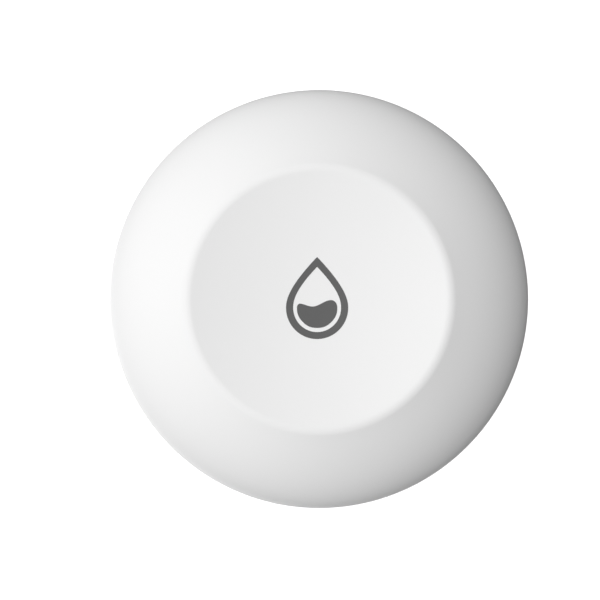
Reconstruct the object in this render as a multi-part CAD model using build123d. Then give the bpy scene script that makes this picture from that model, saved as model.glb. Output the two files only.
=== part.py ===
from build123d import *
import math
import os

# A battery water leak sensor: a white puck that lies on the floor, 50 mm across and 15 mm high.
# Its whole top is the button: pressing the dished cover clicks a switch on the circuit board.
# Two screw heads under it are the probes that water bridges. The cell comes out from below,
# behind a round cover with a coin slot and a bayonet.
# Millimetres. Z is up, the feet stand on Z = 0, and the centre line is the Z axis.
# +Y points to the top of the drop sign, and the probes lie on the X axis.

# Coin cell, a 2032
cell_radius = 10.0
cell_height = 3.2
cell_sheet = 0.25
cell_crimp = 0.35
cell_shoulder = 1.3
cell_grommet = 0.35

# Clearances
running_gap = 0.2
close_gap = 0.1
touch_gap = 0.05
overrun = 1.0

# Outer form, read from the photograph: widths and heights from what they enclose
wall = 1.5
crown_width = 9.4
rim_rounding = 1.9
dish_depth = 1.4
crown_slope = 31.0
crown_cone_width = 1.2
crown_pull_share = 0.42
shoulder_pull_share = 0.32
waist_drop = 0.9
underside_reach = 3.1
underside_pull_share = 0.42

# The seam between the cover and the base, and the press that it allows
seam_step = 0.3
seam_gap = 0.45
seam_rounding = 0.25
press_travel = 0.25

# Base housing
foot_height = 0.6
foot_width = 1.6
foot_edge_inset = 0.9
foot_span_angle = 26.0
foot_rounding = 0.5
floor_thickness = 1.6
spigot_wall = 1.3
spigot_lip = 1.2
spigot_lead_in = 0.4
catch_reach = 0.8
catch_height = 0.8
catch_span_angle = 22.0
rib_thickness = 0.8
rib_height = 0.8

# Snap legs of the top cover
leg_thickness = 0.9
leg_width = 5.0
leg_nose = 0.75
leg_nose_height = 0.58
leg_tip_height = 1.3
leg_angles = (45, 135, 225, 315)

# Underside of the top cover
post_radius = 2.0
post_height = 2.35
cover_rib_thickness = 0.8
cover_rib_drop = 1.0
cover_rib_inset = 2.0
light_wall = 0.7

# Seal between the cover and the base
seal_height = 1.2
seal_depth = 0.6
seal_lip_height = 0.15
seal_lip_inset = 0.35

# Battery cover and its bayonet
cover_plate = 1.4
flange_lip = 0.35
flange_edge = 0.3
skirt_wall = 1.2
skirt_gap = 0.7
lug_count = 3
lug_reach = 1.3
lug_thickness = 0.9
lug_span_angle = 22.0
lug_turn_angle = 30.0
lug_stop_gap_angle = 1.0
lug_stop_span_angle = 8.0
lug_first_angle = 30.0
ledge_thickness = 1.5
slot_width = 2.0
slot_depth = 1.2
slot_floor = 0.8
coin_radius = 11.0
slot_side_wall = 1.0
cover_mark_depth = 0.25
cover_mark_radius = 0.6

# O-ring of the battery cover
ring_height = 0.84
ring_width = 1.1
ring_groove_depth = 0.75

# Collar of the battery bay in the base
collar_wall = 3.0

# Battery holder under the board
holder_wall = 1.7
holder_flange = 0.7
holder_flange_reach = 3.0
contact_room = 0.8

# Spring contacts
contact_sheet = 0.2
contact_width = 4.0
clip_foot = 4.4
clip_drop = 1.7
clip_bend = 0.35
finger_pad = 5.0
finger_inset = 1.8
finger_tip = 0.8

# Circuit board
board_margin = 2.6
board_gap = 0.8
board_thickness = 1.0
notch_gap = 0.6

# Probes
probe_offset = 3.6
probe_tip_height = 0.12
probe_head_radius = 2.3
probe_head_height = 1.1
probe_head_crown = 0.35
probe_shank_radius = 1.2
probe_seal_thickness = 0.5
probe_boss_wall = 1.9
probe_boss_rise = 1.0
spacer_radius = 2.2
spacer_roof = 0.4
tail_radius = 0.7
tail_rise = 0.5
cross_width = 0.6
cross_length = 2.4
cross_depth = 0.6

# Board screws
screw_inset = 3.2
screw_shank_radius = 0.95
screw_head_radius = 1.8
screw_head_height = 1.2
screw_head_crown = 0.4
screw_length = 3.6
screw_boss_wall = 1.4
screw_angles = (90, 270)

# Switch
switch_side = 4.5
switch_body_height = 1.05
switch_plate_thickness = 0.2
switch_stem_rise = 0.75
switch_cavity_radius = 1.5
switch_stem_radius = 1.05
switch_collar_height = 0.3
switch_dome_rise = 0.26
switch_dome_sheet = 0.08
terminal_width = 0.7
terminal_length = 0.85
terminal_sheet = 0.15
terminal_spacing = 3.0

# Light
led_length = 1.6
led_width = 0.8
led_height = 0.4
led_lens_height = 0.2
light_radius = 7.5
guide_radius = 1.2
guide_foot_radius = 1.9
guide_foot_height = 1.0

# Parts on the board: length, width, height
radio_size = (6.0, 6.0, 0.85)
memory_size = (4.0, 4.0, 0.8)
crystal_size = (3.2, 2.5, 0.7)
capacitor_size = (3.5, 2.8, 1.9)
chip_size = (1.0, 0.5, 0.5)
pin_one_radius = 0.35
pin_one_depth = 0.1
part_rounding = 0.15
# Their places, as shares of the board's radius
radio_place_shares = (-0.45, 0.25)
crystal_place_shares = (-0.45, -0.09)
memory_place_shares = (-0.42, -0.38)
capacitor_place_shares = (0.36, -0.48)
chip_place_shares = (
    (-0.24, 0.34), (-0.24, 0.27), (-0.24, 0.20), (-0.24, 0.40),
    (-0.24, -0.05), (-0.24, -0.12), (-0.24, -0.35), (-0.24, -0.42),
    (0.20, -0.40), (0.20, -0.47), (0.20, -0.54),
    (0.05, 0.30), (0.05, 0.37), (0.05, 0.44),
)

# Printed aerial near the edge of the board
aerial_folds = 6
aerial_spacing = 1.9
aerial_reach = 4.6
aerial_track = 0.7
aerial_copper = 0.1
aerial_inset = 7.0
aerial_angle = 48.0

# Radii, from the cell outwards to the body
cell_cap_radius = cell_radius - cell_shoulder
skirt_inner = cell_radius + skirt_gap
skirt_outer = skirt_inner + skirt_wall
ledge_inner = skirt_outer + running_gap
lug_outer = skirt_outer + lug_reach
channel_outer = lug_outer + running_gap
ring_inner = channel_outer + close_gap
ring_middle = ring_inner + ring_width / 2
flange_radius = ring_inner + ring_width + touch_gap + flange_lip
collar_outer = channel_outer + collar_wall
probe_radius = flange_radius + probe_offset
board_radius = probe_radius + board_margin
screw_radius = board_radius - screw_inset
spigot_inner = board_radius + board_gap
spigot_outer = spigot_inner + spigot_wall
body_radius = spigot_outer + running_gap + wall
rim_radius = body_radius - crown_width
flat_radius = body_radius - underside_reach
catch_inner = spigot_inner - catch_reach
leg_outer = catch_inner - running_gap
leg_inner = leg_outer - leg_thickness

# Heights, from the ground up to the rim
floor_top = foot_height + floor_thickness
seam_height = floor_top + seam_step
cover_edge = seam_height + seam_gap
seal_bottom = cover_edge + press_travel + running_gap
seal_top = seal_bottom + seal_height
spigot_top = seal_top + spigot_lip
waist_height = spigot_top - waist_drop
catch_bottom = spigot_top - catch_height
plate_top = foot_height + cover_plate
slot_roof = foot_height + slot_depth + slot_floor
cell_bottom = slot_roof + close_gap
cell_top = cell_bottom + cell_height
ledge_bottom = plate_top + ring_height - ring_groove_depth + touch_gap
ledge_top = ledge_bottom + ledge_thickness
lug_bottom = ledge_top + close_gap
lug_top = lug_bottom + lug_thickness
collar_top = lug_top + running_gap
board_bottom = cell_top + contact_room
board_top = board_bottom + board_thickness
switch_top = board_top + switch_body_height
plunger_top = switch_top + switch_plate_thickness + switch_stem_rise
dish_underside = plunger_top + touch_gap + post_height
body_height = dish_underside + wall + dish_depth

# The soft rim: its section is an arc that touches the dish inside and the crown outside
dish_span = (rim_radius**2 + dish_depth**2) / (2 * dish_depth)
dish_slope = math.degrees(math.asin(rim_radius / dish_span))
dish_radius = dish_span - rim_rounding
dish_centre_height = body_height - dish_depth + dish_radius
rim_centre_height = body_height - rim_rounding

FLOOR_ALIGNED = (Align.CENTER, Align.CENTER, Align.MIN)


def disc(radius, bottom, top):
    """A cylinder on the centre line."""
    return Pos(0, 0, bottom) * Cylinder(radius, top - bottom, align=FLOOR_ALIGNED)


def ring(outer, inner, bottom, top):
    """A tube on the centre line."""
    return disc(outer, bottom, top) - disc(inner, bottom - overrun, top + overrun)


def sector(outer, inner, start, span, bottom, top):
    """A part of a tube, from the angle start, anticlockwise from above."""
    section = Pos(inner, bottom) * Rectangle(outer - inner, top - bottom, align=Align.MIN)
    return Rot(0, 0, start) * revolve(Plane.XZ * section, Axis.Z, revolution_arc=span)


def block(length, width, bottom, top):
    """A box centred on the centre line."""
    return Pos(0, 0, bottom) * Box(length, width, top - bottom, align=FLOOR_ALIGNED)


def at(angle, radius, shape):
    """The shape moved out to a radius and turned to an angle."""
    return Rot(0, 0, angle) * Pos(radius, 0, 0) * shape


def polar(centre, radius, angle):
    """The point at an angle from the vertical, clockwise, round a centre in a section."""
    turn = math.radians(angle)
    return (centre[0] + radius * math.sin(turn), centre[1] + radius * math.cos(turn))


def turned(profile):
    """The solid of revolution of a section drawn as radius and height."""
    return revolve(Plane.XZ * profile, Axis.Z)


# The outer form


def top_outline(inset):
    """The top of the section, from the centre line to the waist, moved inwards by inset."""
    dish_centre = (0, dish_centre_height)
    rim_centre = (rim_radius, rim_centre_height)
    rounding = rim_rounding - inset
    dish = ThreePointArc(
        (0, body_height - dish_depth - inset),
        polar(dish_centre, dish_radius + inset, 180 - dish_slope / 2),
        polar(rim_centre, rounding, -dish_slope),
    )
    rim = ThreePointArc(
        dish @ 1,
        polar(rim_centre, rounding, (crown_slope - dish_slope) / 2),
        polar(rim_centre, rounding, crown_slope),
    )
    slope = math.radians(crown_slope)
    downhill = Vector(math.cos(slope), -math.sin(slope))
    crown = Line(rim @ 1, rim @ 1 + downhill * crown_cone_width / math.cos(slope))
    start = crown @ 1
    waist = Vector(body_radius - inset, waist_height)
    chord = (waist - start).length
    shoulder_pull = Vector(0, 1) * chord * shoulder_pull_share
    shoulder = Bezier(start, start + downhill * chord * crown_pull_share, waist + shoulder_pull, waist)
    return [dish, rim, crown, shoulder]


def outer_form():
    """The whole outer shape, cover and base together, without its feet."""
    top = top_outline(0)
    waist = top[-1] @ 1
    flat = Vector(flat_radius, foot_height)
    drop = Vector(0, -1) * (waist_height - foot_height) * underside_pull_share
    reach = Vector(1, 0) * (body_radius - flat_radius) * underside_pull_share
    under = Bezier(waist, waist + drop, flat + reach, flat)
    floor = Line(flat, (0, foot_height))
    middle = Line((0, foot_height), top[0] @ 0)
    return turned(make_face([*top, under, floor, middle]))


def hollow_form(inset):
    """The inside of the outer form at a depth of inset, with straight sides below the waist."""
    top = top_outline(inset)
    waist = top[-1] @ 1
    side = Line(waist, (waist.X, 0))
    floor = Line((waist.X, 0), (0, 0))
    middle = Line((0, 0), top[0] @ 0)
    return turned(make_face([*top, side, floor, middle]))


# The top cover


def snap_leg():
    """One leg of the cover, with a nose that catches under a ledge of the base."""
    tip = floor_top + leg_tip_height
    nose_top = catch_bottom - touch_gap
    nose = leg_outer + leg_nose
    outline = Polyline(
        (leg_inner, body_height),
        (leg_inner, tip),
        (leg_outer, tip),
        (nose, nose_top - leg_nose_height),
        (nose, nose_top),
        (leg_outer, nose_top),
        (leg_outer, body_height),
        close=True,
    )
    profile = Plane.XZ * make_face(outline)
    return extrude(profile, leg_width / 2, both=True)


def top_cover():
    """The white cover: dome, soft rim and dish in one moulding, with its legs and post."""
    above_seam = disc(body_radius + overrun, cover_edge, body_height + overrun)
    shell = (outer_form() & above_seam) - hollow_form(wall)
    shell = fillet(shell.edges().group_by(Axis.Z)[0], seam_rounding)
    fittings = [at(angle, 0, snap_leg()) for angle in leg_angles]
    fittings.append(disc(post_radius, plunger_top + touch_gap, body_height))
    rib_bottom = dish_underside - cover_rib_drop
    for angle in leg_angles[:2]:
        rib = block(2 * (rim_radius - cover_rib_inset), cover_rib_thickness, rib_bottom, body_height)
        fittings.append(at(angle, 0, rib))
    inside = hollow_form(wall / 2)
    for fitting in fittings:
        shell += fitting & inside
    pocket_roof = body_height - dish_depth - light_wall
    pocket = disc(guide_radius + running_gap, plunger_top, pocket_roof)
    return shell - Pos(0, -light_radius, 0) * pocket


# The base


def bay_collar():
    """The collar of the battery bay: recess, sealing shoulder and the ledges of the bayonet."""
    collar = disc(collar_outer, foot_height, collar_top)
    collar -= disc(flange_radius + close_gap, foot_height - overrun, ledge_bottom)
    collar -= disc(ledge_inner, ledge_bottom - overrun, ledge_top + overrun)
    collar -= disc(channel_outer, ledge_top, collar_top + overrun)
    half = lug_span_angle / 2 + lug_stop_gap_angle
    for number in range(lug_count):
        middle = lug_first_angle + number * 360 / lug_count
        collar -= sector(
            channel_outer, ledge_inner - overrun, middle - half, 2 * half,
            ledge_bottom - overrun, ledge_top + overrun,
        )
        for start in (middle - half - lug_stop_span_angle, middle + lug_turn_angle + half):
            collar += sector(
                channel_outer + touch_gap, ledge_inner, start, lug_stop_span_angle,
                ledge_top - touch_gap, collar_top,
            )
    return collar


def feet():
    """Four low feet round the underside, between the probes."""
    outer = flat_radius - foot_edge_inset
    inner = outer - foot_width
    made = []
    for angle in leg_angles:
        start = angle - foot_span_angle / 2
        foot = sector(outer, inner, start, foot_span_angle, 0, foot_height + touch_gap)
        foot = fillet(foot.edges().filter_by(Axis.Z), foot_rounding)
        made.append(foot)
    return made


def base_housing():
    """The lower casing: floor, side, spigot, battery bay, bosses and feet."""
    below_seam = disc(body_radius + overrun, 0, seam_height)
    base = outer_form() & below_seam
    base = fillet(base.edges().group_by(Axis.Z)[-1], seam_rounding)
    spigot = disc(spigot_outer, seam_height - overrun, spigot_top)
    base += chamfer(spigot.edges().group_by(Axis.Z)[-1], spigot_lead_in)
    base -= disc(spigot_inner, floor_top, spigot_top + overrun)
    base -= ring(
        spigot_outer + overrun, spigot_outer - seal_depth, seal_bottom - touch_gap, seal_top + touch_gap
    )
    for angle in leg_angles:
        base += sector(
            spigot_inner + touch_gap, catch_inner, angle - catch_span_angle / 2, catch_span_angle,
            catch_bottom, spigot_top,
        )
        rib = Pos((collar_outer + spigot_inner) / 2, 0, 0) * block(
            spigot_inner - collar_outer + 2 * touch_gap, rib_thickness,
            floor_top - touch_gap, floor_top + rib_height,
        )
        base += Rot(0, 0, angle) * rib
    base -= disc(collar_outer - touch_gap, 0, floor_top + overrun)
    base += bay_collar()
    for angle in (0, 180):
        boss = disc(
            probe_shank_radius + probe_boss_wall, floor_top - touch_gap, floor_top + probe_boss_rise
        )
        base += at(angle, probe_radius, boss)
        base -= at(angle, probe_radius, disc(probe_shank_radius + close_gap, 0, board_bottom))
        base -= at(angle, probe_radius, disc(probe_head_radius + running_gap, 0, probe_seat_height()))
    for angle in screw_angles:
        boss = disc(screw_shank_radius + screw_boss_wall, floor_top - touch_gap, board_bottom)
        pilot = disc(screw_shank_radius + touch_gap, board_bottom - screw_length, board_bottom + overrun)
        base += at(angle, screw_radius, boss)
        base -= at(angle, screw_radius, pilot)
    for foot in feet():
        base += foot
    return base


def cover_seal():
    """The rubber seal in the groove of the spigot, with two lips towards the cover."""
    inner = spigot_outer - seal_depth + touch_gap
    face = spigot_outer - seal_depth / 3
    lip = body_radius - wall - close_gap
    outline = Polyline(
        (inner, seal_bottom),
        (face, seal_bottom),
        (lip, seal_bottom + seal_lip_inset),
        (lip, seal_bottom + seal_lip_inset + seal_lip_height),
        (face, (seal_bottom + seal_top) / 2),
        (lip, seal_top - seal_lip_inset - seal_lip_height),
        (lip, seal_top - seal_lip_inset),
        (face, seal_top),
        (inner, seal_top),
        close=True,
    )
    return turned(make_face(outline))


# The battery cover


def coin_disc(radius, width):
    """A coin on edge, whose lowest part makes the slot."""
    coin = Rot(0, 90, 90) * Cylinder(radius, width)
    return Pos(0, 0, foot_height + slot_depth - coin_radius) * coin


def battery_cover():
    """The round cover under the cell, with a coin slot, a skirt and three bayonet lugs."""
    plate = disc(flange_radius, foot_height, plate_top)
    plate = chamfer(plate.edges().group_by(Axis.Z)[0], flange_edge)
    plate -= ring(
        ring_middle + ring_width / 2 + touch_gap, ring_middle - ring_width / 2 - touch_gap,
        plate_top - ring_groove_depth, plate_top + overrun,
    )
    plate += ring(skirt_outer, skirt_inner, plate_top - touch_gap, lug_top)
    for number in range(lug_count):
        middle = lug_first_angle + number * 360 / lug_count
        plate += sector(
            lug_outer, skirt_outer - touch_gap, middle - lug_span_angle / 2, lug_span_angle,
            lug_bottom, lug_top,
        )
    hump = coin_disc(coin_radius + slot_floor, slot_width + 2 * slot_side_wall)
    plate += hump & disc(skirt_inner, foot_height + cover_plate / 2, cell_bottom)
    plate -= coin_disc(coin_radius, slot_width)
    mark = disc(cover_mark_radius, 0, foot_height + cover_mark_depth)
    return plate - at(lug_first_angle + 180 / lug_count, (flange_radius + skirt_inner) / 2, mark)


def battery_cover_seal():
    """The O-ring, squeezed between the cover's groove and the shoulder of the bay."""
    middle = plate_top - ring_groove_depth + touch_gap / 2 + ring_height / 2
    return turned(Pos(ring_middle, middle) * Ellipse(ring_width / 2, ring_height / 2))


# The coin cell


def battery_can():
    """The positive can of the cell, crimped in over the grommet."""
    can = disc(cell_radius, cell_bottom, cell_top - cell_crimp)
    can = fillet(can.edges(), cell_sheet)
    inner = cell_radius - cell_sheet
    can -= disc(inner, cell_bottom + cell_sheet, cell_top - cell_crimp - cell_sheet)
    mouth = cell_cap_radius + cell_grommet + touch_gap
    return can - disc(mouth, cell_bottom + cell_height / 2, cell_top)


def battery_cap():
    """The negative cap of the cell."""
    cap = disc(cell_cap_radius, cell_bottom + cell_height / 3, cell_top)
    cap = fillet(cap.edges().group_by(Axis.Z)[-1], cell_sheet)
    inner = cell_cap_radius - cell_sheet
    return cap - disc(inner, cell_bottom, cell_top - cell_sheet)


def battery_grommet():
    """The insulating ring between the can and the cap."""
    return ring(
        cell_cap_radius + cell_grommet, cell_cap_radius + touch_gap,
        cell_bottom + cell_height / 3, cell_top - cell_crimp,
    )


def battery_pellet():
    """The stack of electrodes inside the cell."""
    radius = cell_cap_radius - cell_sheet - touch_gap
    return disc(radius, cell_bottom + cell_sheet + touch_gap, cell_top - cell_sheet - touch_gap)


def battery_holder():
    """The plastic ring that centres the cell, held between the bay's collar and the board."""
    inner = cell_radius + running_gap + close_gap
    bottom = collar_top + touch_gap
    holder = ring(inner + holder_wall, inner, bottom, board_bottom)
    holder += ring(inner + holder_wall + holder_flange_reach, inner, bottom, bottom + holder_flange)
    window = Pos(inner + holder_wall / 2, 0, 0) * block(
        holder_wall + 2 * running_gap, contact_width + 2 * running_gap, bottom - overrun, board_top
    )
    for angle in (0, 180):
        holder -= Rot(0, 0, angle) * window
    return holder


def sprung_strip(points, width):
    """A bent strip of contact metal, from its line in a section."""
    line = Polyline(*points)
    return extrude(Plane.XZ * trace(line, contact_sheet), width / 2, both=True)


def positive_contact():
    """A clip from the board down to the side of the can."""
    level = board_bottom - contact_sheet / 2
    side = cell_radius + touch_gap + contact_sheet / 2
    low = level - clip_drop
    return sprung_strip(
        [
            (side + clip_foot, level),
            (side + clip_bend, level),
            (side + clip_bend, (level + low) / 2),
            (side, low + clip_bend),
            (side + clip_bend / 2, low),
        ],
        contact_width,
    )


def negative_contact():
    """A double spring under the board that presses on the cap."""
    level = board_bottom - contact_sheet / 2
    touch = cell_top + touch_gap + contact_sheet / 2
    pad = finger_pad / 2
    arm = cell_cap_radius - finger_inset
    tip = arm + finger_tip
    rise = (level + touch) / 2
    return sprung_strip(
        [(-tip, rise), (-arm, touch), (-pad, level), (pad, level), (arm, touch), (tip, rise)],
        contact_width,
    )


# The board and what stands on it


def circuit_board():
    """The round board, notched for the cover's legs."""
    board = disc(board_radius, board_bottom, board_top)
    depth = board_radius - leg_inner + notch_gap + overrun
    notch = Pos(leg_inner - notch_gap + depth / 2, 0, 0) * block(
        depth, leg_width + 2 * notch_gap, board_bottom - overrun, board_top + overrun
    )
    for angle in leg_angles:
        board -= Rot(0, 0, angle) * notch
    for angle in (0, 180):
        board -= at(angle, probe_radius, disc(tail_radius + touch_gap, 0, body_height))
    for angle in screw_angles:
        board -= at(angle, screw_radius, disc(screw_shank_radius + close_gap, 0, body_height))
    return board


def cross_recess(height, down):
    """The cross slot of a screw head, cut downwards or upwards from a height."""
    low, high = height - overrun, height + cross_depth
    if down:
        low, high = height - cross_depth, height + overrun
    return block(cross_length, cross_width, low, high) + block(cross_width, cross_length, low, high)


def probe_seat_height():
    """The height of the seat above a probe's head and its washer."""
    return probe_tip_height + probe_head_height + probe_seal_thickness


def probe_screw():
    """A probe: a screw from below, whose domed head is the electrode."""
    head_top = probe_tip_height + probe_head_height
    head = disc(probe_head_radius, probe_tip_height, head_top)
    head = fillet(head.edges().group_by(Axis.Z)[0], probe_head_crown)
    head -= cross_recess(probe_tip_height, down=False)
    return head + disc(probe_shank_radius, head_top - touch_gap, board_bottom - spacer_roof - close_gap)


def probe_washer():
    """The rubber washer between a probe's head and the base."""
    head_top = probe_tip_height + probe_head_height
    return ring(
        probe_head_radius - close_gap, probe_shank_radius + touch_gap, head_top, probe_seat_height()
    )


def probe_spacer():
    """A brass hexagon, soldered to the board, that takes the probe's thread."""
    bottom = floor_top + probe_boss_rise
    hexagon = Pos(0, 0, bottom) * extrude(RegularPolygon(spacer_radius, 6), board_bottom - bottom)
    hexagon -= disc(probe_shank_radius + touch_gap, 0, board_bottom - spacer_roof)
    return hexagon + disc(tail_radius, board_bottom - touch_gap, board_top + tail_rise)


def board_screws():
    """The two screws that hold the board down."""
    head = disc(screw_head_radius, board_top, board_top + screw_head_height)
    head = fillet(head.edges().group_by(Axis.Z)[-1], screw_head_crown)
    head -= cross_recess(board_top + screw_head_height, down=True)
    tip = board_bottom - screw_length + running_gap
    screw = head + disc(screw_shank_radius, tip, board_top + touch_gap)
    return Compound([at(angle, screw_radius, screw) for angle in screw_angles])


def switch_body():
    """The square body of the switch, with the well of its snap dome."""
    body = block(switch_side, switch_side, board_top, switch_top)
    return body - disc(switch_cavity_radius, switch_well(), switch_top + overrun)


def switch_well():
    """The height of the floor of the switch's well."""
    return switch_top - switch_collar_height - switch_dome_rise - touch_gap


def switch_plate():
    """The metal plate that holds the plunger in."""
    plate = block(switch_side, switch_side, switch_top, switch_top + switch_plate_thickness)
    return plate - disc(switch_stem_radius + touch_gap, board_top, plunger_top)


def switch_plunger():
    """The plunger of the switch, under the cover's post."""
    collar_roof = switch_top - touch_gap / 2
    collar = disc(switch_cavity_radius - close_gap, collar_roof - switch_collar_height, collar_roof)
    return collar + disc(switch_stem_radius, collar_roof - touch_gap, plunger_top)


def switch_dome():
    """The snap dome that clicks and pushes the plunger back."""
    radius = switch_cavity_radius - close_gap
    rise = switch_dome_rise - switch_dome_sheet
    curve = (radius**2 + rise**2) / (2 * rise)
    top = switch_well() + switch_dome_rise
    outer = Pos(0, 0, top - curve) * Sphere(curve)
    inner = Pos(0, 0, top - curve) * Sphere(curve - switch_dome_sheet)
    return (outer - inner) & disc(radius, switch_well(), top + overrun)


def switch_terminals():
    """The four feet that the switch is soldered by."""
    foot = block(terminal_length, terminal_width, board_top, board_top + terminal_sheet)
    reach = (switch_side + terminal_length) / 2
    places = [(x * reach, y * terminal_spacing / 2) for x in (-1, 1) for y in (-1, 1)]
    return Compound([Pos(x, y, 0) * foot for x, y in places])


def status_led():
    """The indicator light, under the light guide."""
    led_top = board_top + led_height
    led = block(led_length, led_width, board_top, led_top)
    lens = block(led_length / 2, led_width, led_top - touch_gap, led_top + led_lens_height)
    return Pos(0, -light_radius, 0) * (led + lens)


def light_guide():
    """A clear rod that stands over the light and ends in a pocket under the dish."""
    pocket_roof = body_height - dish_depth - light_wall
    top = pocket_roof - press_travel - running_gap
    foot = disc(guide_foot_radius, board_top, board_top + guide_foot_height)
    rod = disc(guide_radius, board_top + guide_foot_height - touch_gap, top)
    room = block(
        led_length + 2 * close_gap, led_width + 2 * close_gap,
        board_top - overrun, board_top + led_height + led_lens_height + close_gap,
    )
    return Pos(0, -light_radius, 0) * (foot + rod - room)


def placed(shape, shares):
    """The shape moved to a place on the board, given as shares of its radius."""
    return Pos(shares[0] * board_radius, shares[1] * board_radius, 0) * shape


def chip(size):
    """A moulded chip with its edges broken and a dimple at pin one."""
    length, width, height = size
    body = block(length, width, board_top, board_top + height)
    body = fillet(body.edges().filter_by(Axis.Z), part_rounding)
    corner = Pos(-length / 2 + 2 * pin_one_radius, width / 2 - 2 * pin_one_radius, 0)
    dimple = disc(pin_one_radius, board_top + height - pin_one_depth, board_top + height + overrun)
    return body - corner * dimple


def plain_part(size):
    """A part with a plain body, such as a crystal or a capacitor."""
    length, width, height = size
    body = block(length, width, board_top, board_top + height)
    return fillet(body.edges().filter_by(Axis.Z), part_rounding)


def small_parts():
    """The chip resistors and capacitors."""
    one = block(chip_size[0], chip_size[1], board_top, board_top + chip_size[2])
    return Compound([placed(one, shares) for shares in chip_place_shares])


def board_aerial():
    """The folded copper track at the board's edge that is the aerial."""
    half = aerial_reach / 2
    start = -aerial_spacing * aerial_folds / 2
    points = []
    for fold in range(aerial_folds + 1):
        across = start + fold * aerial_spacing
        side = half if fold % 2 else -half
        points += [(side, across), (-side, across)]
    track = extrude(trace(Polyline(*points), aerial_track), aerial_copper)
    return at(aerial_angle, board_radius - aerial_inset, Pos(0, 0, board_top) * track)


# Each piece, by the name of its node

pieces = {
    "top_cover": top_cover(),
    "base_housing": base_housing(),
    "cover_seal": cover_seal(),
    "battery_cover": battery_cover(),
    "battery_cover_seal": battery_cover_seal(),
    "battery_can": battery_can(),
    "battery_cap": battery_cap(),
    "battery_grommet": battery_grommet(),
    "battery_pellet": battery_pellet(),
    "battery_holder": battery_holder(),
    "positive_contact_right": positive_contact(),
    "positive_contact_left": Rot(0, 0, 180) * positive_contact(),
    "negative_contact": negative_contact(),
    "circuit_board": circuit_board(),
    "board_screws": board_screws(),
    "probe_screw_right": at(0, probe_radius, probe_screw()),
    "probe_screw_left": at(180, probe_radius, probe_screw()),
    "probe_washer_right": at(0, probe_radius, probe_washer()),
    "probe_washer_left": at(180, probe_radius, probe_washer()),
    "probe_spacer_right": at(0, probe_radius, probe_spacer()),
    "probe_spacer_left": at(180, probe_radius, probe_spacer()),
    "switch_body": switch_body(),
    "switch_plate": switch_plate(),
    "switch_plunger": switch_plunger(),
    "switch_dome": switch_dome(),
    "switch_terminals": switch_terminals(),
    "status_led": status_led(),
    "light_guide": light_guide(),
    "radio_chip": placed(chip(radio_size), radio_place_shares),
    "memory_chip": placed(chip(memory_size), memory_place_shares),
    "crystal": placed(plain_part(crystal_size), crystal_place_shares),
    "storage_capacitor": placed(plain_part(capacitor_size), capacitor_place_shares),
    "small_parts": small_parts(),
    "board_aerial": board_aerial(),
}

os.makedirs("parts", exist_ok=True)
for name, piece in pieces.items():
    export_step(piece, f"parts/{name}.step")
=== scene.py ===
# %% [markdown]
# # Dressing a water leak sensor
# The sensor is a white plastic puck, 50 mm across, that lies on the floor and calls for help when water
# reaches the two screw heads under it. Its working parts already exist as a model at real size, and this
# notebook gives them their finishes, adds the printed and moulded signs, and photographs the result.
# It starts by loading the model. Nothing that is loaded is moved or reshaped afterwards.

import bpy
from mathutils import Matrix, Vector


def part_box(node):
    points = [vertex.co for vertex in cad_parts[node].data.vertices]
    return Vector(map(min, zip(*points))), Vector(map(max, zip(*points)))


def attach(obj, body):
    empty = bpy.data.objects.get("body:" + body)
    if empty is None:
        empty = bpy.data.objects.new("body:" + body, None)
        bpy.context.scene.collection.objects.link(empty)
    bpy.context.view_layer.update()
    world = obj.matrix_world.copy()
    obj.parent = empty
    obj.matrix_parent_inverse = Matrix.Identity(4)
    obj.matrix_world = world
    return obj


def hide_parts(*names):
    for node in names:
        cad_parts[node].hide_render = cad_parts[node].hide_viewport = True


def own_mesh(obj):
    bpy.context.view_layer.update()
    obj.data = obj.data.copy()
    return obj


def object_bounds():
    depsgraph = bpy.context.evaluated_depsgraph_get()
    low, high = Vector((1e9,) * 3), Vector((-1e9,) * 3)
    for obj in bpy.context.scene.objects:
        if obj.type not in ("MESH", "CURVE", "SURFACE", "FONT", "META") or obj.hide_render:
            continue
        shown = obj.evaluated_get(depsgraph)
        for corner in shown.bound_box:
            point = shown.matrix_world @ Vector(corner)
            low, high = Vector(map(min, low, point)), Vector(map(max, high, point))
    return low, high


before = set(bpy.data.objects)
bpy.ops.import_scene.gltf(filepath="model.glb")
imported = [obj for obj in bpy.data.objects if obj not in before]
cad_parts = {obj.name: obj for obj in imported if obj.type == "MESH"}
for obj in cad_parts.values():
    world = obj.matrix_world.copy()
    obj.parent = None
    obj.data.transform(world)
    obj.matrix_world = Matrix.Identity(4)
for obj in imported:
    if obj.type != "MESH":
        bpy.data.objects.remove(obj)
cad_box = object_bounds()

# %% The tools of the trade
import math

import bpy

MM = 0.001
puck_radius = (cad_box[1].x - cad_box[0].x) / 2
puck_height = cad_box[1].z
print("puck", round(puck_radius / MM, 2), "mm in radius,", round(puck_height / MM, 2), "mm high")

# %% [markdown]
# ## The camera
# The photograph was taken from straight above, from so far away that the puck shows no perspective: the high
# rim and the wide waist lie round the same centre. A very long lens on a distant camera does the same. Where
# the puck's circle lies in the frame, and how large it is there, are read off the picture.

# %% Place the camera
FRAME_PX = 600
PUCK_X_PX, PUCK_Y_PX = 318.9, 299.05
PUCK_RADIUS_PX = 208.7
LENS_MM = 1000
SENSOR_MM = 36

px_per_metre = PUCK_RADIUS_PX / puck_radius
distance = FRAME_PX / px_per_metre * LENS_MM / SENSOR_MM
camera_x = (FRAME_PX / 2 - PUCK_X_PX) / px_per_metre
camera_y = (PUCK_Y_PX - FRAME_PX / 2) / px_per_metre

bpy.ops.object.camera_add(location=(camera_x, camera_y, distance), rotation=(0, 0, 0))
camera = bpy.context.object
camera.data.lens = LENS_MM
camera.data.sensor_width = SENSOR_MM
camera.data.clip_start = distance / 100
camera.data.clip_end = distance * 2
bpy.context.scene.camera = camera
print("camera", round(distance, 2), "m away")

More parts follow.
